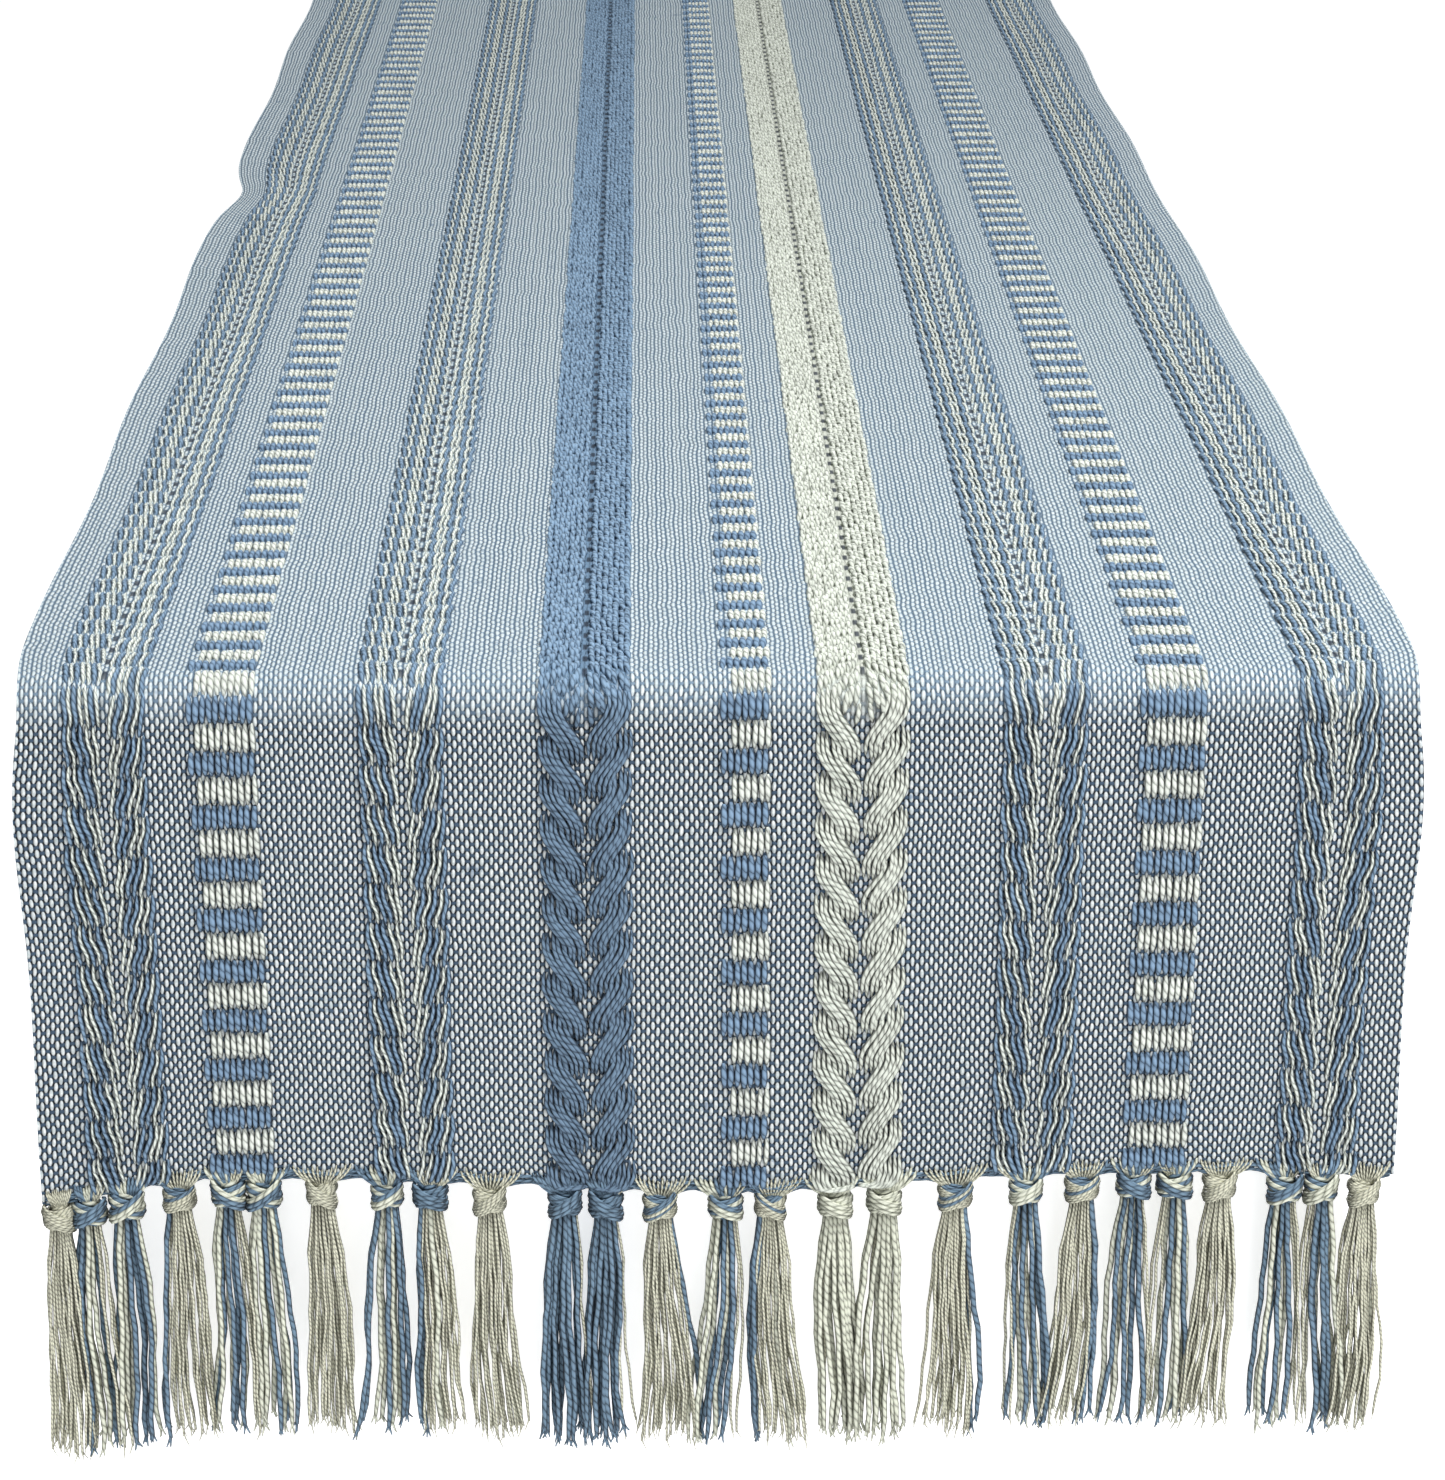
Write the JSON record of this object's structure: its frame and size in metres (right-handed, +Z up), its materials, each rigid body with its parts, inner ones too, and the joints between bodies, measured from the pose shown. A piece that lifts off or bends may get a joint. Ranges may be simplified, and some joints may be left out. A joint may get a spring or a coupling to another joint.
{
  "type": "table runner",
  "caption": "Woven cotton table runner in blue and cream with braided, wavy and checked lengthwise stripes, its ends hanging over the table edges with knotted tassel fringes.",
  "frame": {"origin": "middle of the underside of the flat top, on the table's surface", "axes": "+Z up, +Y along the runner from the front end to the back end, +X to the right as seen from the front end"},
  "size_m": [0.3823, 1.5468, 0.2349],
  "materials": {
    "ground_weave": "matt plain weave, cream warp and blue weft",
    "blue_yarn": "matt plied cotton yarn",
    "cream_yarn": "matt plied cotton yarn",
    "mixed_yarn": "matt plied cotton yarn, blue and cream",
    "check_yarn": "matt cotton yarn in blue and cream blocks"
  },
  "bodies": {
    "top": {"top_cloth": "ground_weave", "top_left_outer_wave": "mixed_yarn", "top_left_wide_check": "check_yarn", "top_left_inner_wave": "mixed_yarn", "top_blue_braid": "blue_yarn", "top_narrow_check": "check_yarn", "top_cream_braid": "cream_yarn", "top_right_inner_wave": "mixed_yarn", "top_right_wide_check": "check_yarn", "top_right_outer_wave": "mixed_yarn", "front_bend": "ground_weave", "back_bend": "ground_weave"},
    "front_drop": {"front_drop_cloth": "ground_weave", "front_drop_left_outer_wave": "mixed_yarn", "front_drop_left_wide_check": "check_yarn", "front_drop_left_inner_wave": "mixed_yarn", "front_drop_blue_braid": "blue_yarn", "front_drop_narrow_check": "check_yarn", "front_drop_cream_braid": "cream_yarn", "front_drop_right_inner_wave": "mixed_yarn", "front_drop_right_wide_check": "check_yarn", "front_drop_right_outer_wave": "mixed_yarn"},
    "front_tassels_left_edge_body": {"front_tassels_left_edge": "cream_yarn"},
    "front_tassels_left_check_body": {"front_tassels_left_check": "mixed_yarn"},
    "front_tassel_ground_1_body": {"front_tassel_ground_1": "cream_yarn"},
    "front_tassels_left_wave_body": {"front_tassels_left_wave": "mixed_yarn"},
    "front_tassel_ground_2_body": {"front_tassel_ground_2": "cream_yarn"},
    "front_tassels_blue_braid_body": {"front_tassels_blue_braid": "blue_yarn"},
    "front_tassel_ground_3_body": {"front_tassel_ground_3": "cream_yarn"},
    "front_tassels_narrow_check_body": {"front_tassels_narrow_check": "mixed_yarn"},
    "front_tassels_cream_braid_body": {"front_tassels_cream_braid": "cream_yarn"},
    "front_tassel_ground_4_body": {"front_tassel_ground_4": "cream_yarn"},
    "front_tassels_right_wave_body": {"front_tassels_right_wave": "mixed_yarn"},
    "front_tassels_right_check_body": {"front_tassels_right_check": "mixed_yarn"},
    "front_tassel_ground_5_body": {"front_tassel_ground_5": "cream_yarn"},
    "front_tassels_right_edge_body": {"front_tassels_right_edge": "mixed_yarn"},
    "back_drop": {"back_drop_cloth": "ground_weave", "back_drop_left_outer_wave": "mixed_yarn", "back_drop_left_wide_check": "check_yarn", "back_drop_left_inner_wave": "mixed_yarn", "back_drop_blue_braid": "blue_yarn", "back_drop_narrow_check": "check_yarn", "back_drop_cream_braid": "cream_yarn", "back_drop_right_inner_wave": "mixed_yarn", "back_drop_right_wide_check": "check_yarn", "back_drop_right_outer_wave": "mixed_yarn"},
    "back_tassels_left_edge_body": {"back_tassels_left_edge": "cream_yarn"},
    "back_tassels_left_check_body": {"back_tassels_left_check": "mixed_yarn"},
    "back_tassel_ground_1_body": {"back_tassel_ground_1": "cream_yarn"},
    "back_tassels_left_wave_body": {"back_tassels_left_wave": "mixed_yarn"},
    "back_tassel_ground_2_body": {"back_tassel_ground_2": "cream_yarn"},
    "back_tassels_blue_braid_body": {"back_tassels_blue_braid": "blue_yarn"},
    "back_tassel_ground_3_body": {"back_tassel_ground_3": "cream_yarn"},
    "back_tassels_narrow_check_body": {"back_tassels_narrow_check": "mixed_yarn"},
    "back_tassels_cream_braid_body": {"back_tassels_cream_braid": "cream_yarn"},
    "back_tassel_ground_4_body": {"back_tassel_ground_4": "cream_yarn"},
    "back_tassels_right_wave_body": {"back_tassels_right_wave": "mixed_yarn"},
    "back_tassels_right_check_body": {"back_tassels_right_check": "mixed_yarn"},
    "back_tassel_ground_5_body": {"back_tassel_ground_5": "cream_yarn"},
    "back_tassels_right_edge_body": {"back_tassels_right_edge": "mixed_yarn"}
  },
  "joints": [
    {"name": "front_drop_lift", "type": "hinge", "parent": "top", "child": "front_drop", "pos_m": [0, -0.76839, 0.0006], "axis": [-1, 0, 0], "range_deg": [0, 90]},
    {"name": "front_tassels_left_edge_swing", "type": "hinge", "parent": "front_drop", "child": "front_tassels_left_edge_body", "pos_m": [0, -0.76839, -0.15571], "axis": [-1, 0, 0], "range_deg": [-90, 90]},
    {"name": "front_tassels_left_check_swing", "type": "hinge", "parent": "front_drop", "child": "front_tassels_left_check_body", "pos_m": [0, -0.76839, -0.15571], "axis": [-1, 0, 0], "range_deg": [-90, 90]},
    {"name": "front_tassel_ground_1_swing", "type": "hinge", "parent": "front_drop", "child": "front_tassel_ground_1_body", "pos_m": [0, -0.76839, -0.15571], "axis": [-1, 0, 0], "range_deg": [-90, 90]},
    {"name": "front_tassels_left_wave_swing", "type": "hinge", "parent": "front_drop", "child": "front_tassels_left_wave_body", "pos_m": [0, -0.76839, -0.15571], "axis": [-1, 0, 0], "range_deg": [-90, 90]},
    {"name": "front_tassel_ground_2_swing", "type": "hinge", "parent": "front_drop", "child": "front_tassel_ground_2_body", "pos_m": [0, -0.76839, -0.15571], "axis": [-1, 0, 0], "range_deg": [-90, 90]},
    {"name": "front_tassels_blue_braid_swing", "type": "hinge", "parent": "front_drop", "child": "front_tassels_blue_braid_body", "pos_m": [0, -0.76839, -0.15571], "axis": [-1, 0, 0], "range_deg": [-90, 90]},
    {"name": "front_tassel_ground_3_swing", "type": "hinge", "parent": "front_drop", "child": "front_tassel_ground_3_body", "pos_m": [0, -0.76839, -0.15571], "axis": [-1, 0, 0], "range_deg": [-90, 90]},
    {"name": "front_tassels_narrow_check_swing", "type": "hinge", "parent": "front_drop", "child": "front_tassels_narrow_check_body", "pos_m": [0, -0.76839, -0.15571], "axis": [-1, 0, 0], "range_deg": [-90, 90]},
    {"name": "front_tassels_cream_braid_swing", "type": "hinge", "parent": "front_drop", "child": "front_tassels_cream_braid_body", "pos_m": [0, -0.76839, -0.15571], "axis": [-1, 0, 0], "range_deg": [-90, 90]},
    {"name": "front_tassel_ground_4_swing", "type": "hinge", "parent": "front_drop", "child": "front_tassel_ground_4_body", "pos_m": [0, -0.76839, -0.15571], "axis": [-1, 0, 0], "range_deg": [-90, 90]},
    {"name": "front_tassels_right_wave_swing", "type": "hinge", "parent": "front_drop", "child": "front_tassels_right_wave_body", "pos_m": [0, -0.76839, -0.15571], "axis": [-1, 0, 0], "range_deg": [-90, 90]},
    {"name": "front_tassels_right_check_swing", "type": "hinge", "parent": "front_drop", "child": "front_tassels_right_check_body", "pos_m": [0, -0.76839, -0.15571], "axis": [-1, 0, 0], "range_deg": [-90, 90]},
    {"name": "front_tassel_ground_5_swing", "type": "hinge", "parent": "front_drop", "child": "front_tassel_ground_5_body", "pos_m": [0, -0.76839, -0.15571], "axis": [-1, 0, 0], "range_deg": [-90, 90]},
    {"name": "front_tassels_right_edge_swing", "type": "hinge", "parent": "front_drop", "child": "front_tassels_right_edge_body", "pos_m": [0, -0.76839, -0.15571], "axis": [-1, 0, 0], "range_deg": [-90, 90]},
    {"name": "back_drop_lift", "type": "hinge", "parent": "top", "child": "back_drop", "pos_m": [0, 0.76839, 0.0006], "axis": [1, 0, 0], "range_deg": [0, 90]},
    {"name": "back_tassels_left_edge_swing", "type": "hinge", "parent": "back_drop", "child": "back_tassels_left_edge_body", "pos_m": [0, 0.76839, -0.15571], "axis": [1, 0, 0], "range_deg": [-90, 90]},
    {"name": "back_tassels_left_check_swing", "type": "hinge", "parent": "back_drop", "child": "back_tassels_left_check_body", "pos_m": [0, 0.76839, -0.15571], "axis": [1, 0, 0], "range_deg": [-90, 90]},
    {"name": "back_tassel_ground_1_swing", "type": "hinge", "parent": "back_drop", "child": "back_tassel_ground_1_body", "pos_m": [0, 0.76839, -0.15571], "axis": [1, 0, 0], "range_deg": [-90, 90]},
    {"name": "back_tassels_left_wave_swing", "type": "hinge", "parent": "back_drop", "child": "back_tassels_left_wave_body", "pos_m": [0, 0.76839, -0.15571], "axis": [1, 0, 0], "range_deg": [-90, 90]},
    {"name": "back_tassel_ground_2_swing", "type": "hinge", "parent": "back_drop", "child": "back_tassel_ground_2_body", "pos_m": [0, 0.76839, -0.15571], "axis": [1, 0, 0], "range_deg": [-90, 90]},
    {"name": "back_tassels_blue_braid_swing", "type": "hinge", "parent": "back_drop", "child": "back_tassels_blue_braid_body", "pos_m": [0, 0.76839, -0.15571], "axis": [1, 0, 0], "range_deg": [-90, 90]},
    {"name": "back_tassel_ground_3_swing", "type": "hinge", "parent": "back_drop", "child": "back_tassel_ground_3_body", "pos_m": [0, 0.76839, -0.15571], "axis": [1, 0, 0], "range_deg": [-90, 90]},
    {"name": "back_tassels_narrow_check_swing", "type": "hinge", "parent": "back_drop", "child": "back_tassels_narrow_check_body", "pos_m": [0, 0.76839, -0.15571], "axis": [1, 0, 0], "range_deg": [-90, 90]},
    {"name": "back_tassels_cream_braid_swing", "type": "hinge", "parent": "back_drop", "child": "back_tassels_cream_braid_body", "pos_m": [0, 0.76839, -0.15571], "axis": [1, 0, 0], "range_deg": [-90, 90]},
    {"name": "back_tassel_ground_4_swing", "type": "hinge", "parent": "back_drop", "child": "back_tassel_ground_4_body", "pos_m": [0, 0.76839, -0.15571], "axis": [1, 0, 0], "range_deg": [-90, 90]},
    {"name": "back_tassels_right_wave_swing", "type": "hinge", "parent": "back_drop", "child": "back_tassels_right_wave_body", "pos_m": [0, 0.76839, -0.15571], "axis": [1, 0, 0], "range_deg": [-90, 90]},
    {"name": "back_tassels_right_check_swing", "type": "hinge", "parent": "back_drop", "child": "back_tassels_right_check_body", "pos_m": [0, 0.76839, -0.15571], "axis": [1, 0, 0], "range_deg": [-90, 90]},
    {"name": "back_tassel_ground_5_swing", "type": "hinge", "parent": "back_drop", "child": "back_tassel_ground_5_body", "pos_m": [0, 0.76839, -0.15571], "axis": [1, 0, 0], "range_deg": [-90, 90]},
    {"name": "back_tassels_right_edge_swing", "type": "hinge", "parent": "back_drop", "child": "back_tassels_right_edge_body", "pos_m": [0, 0.76839, -0.15571], "axis": [1, 0, 0], "range_deg": [-90, 90]}
  ]
}
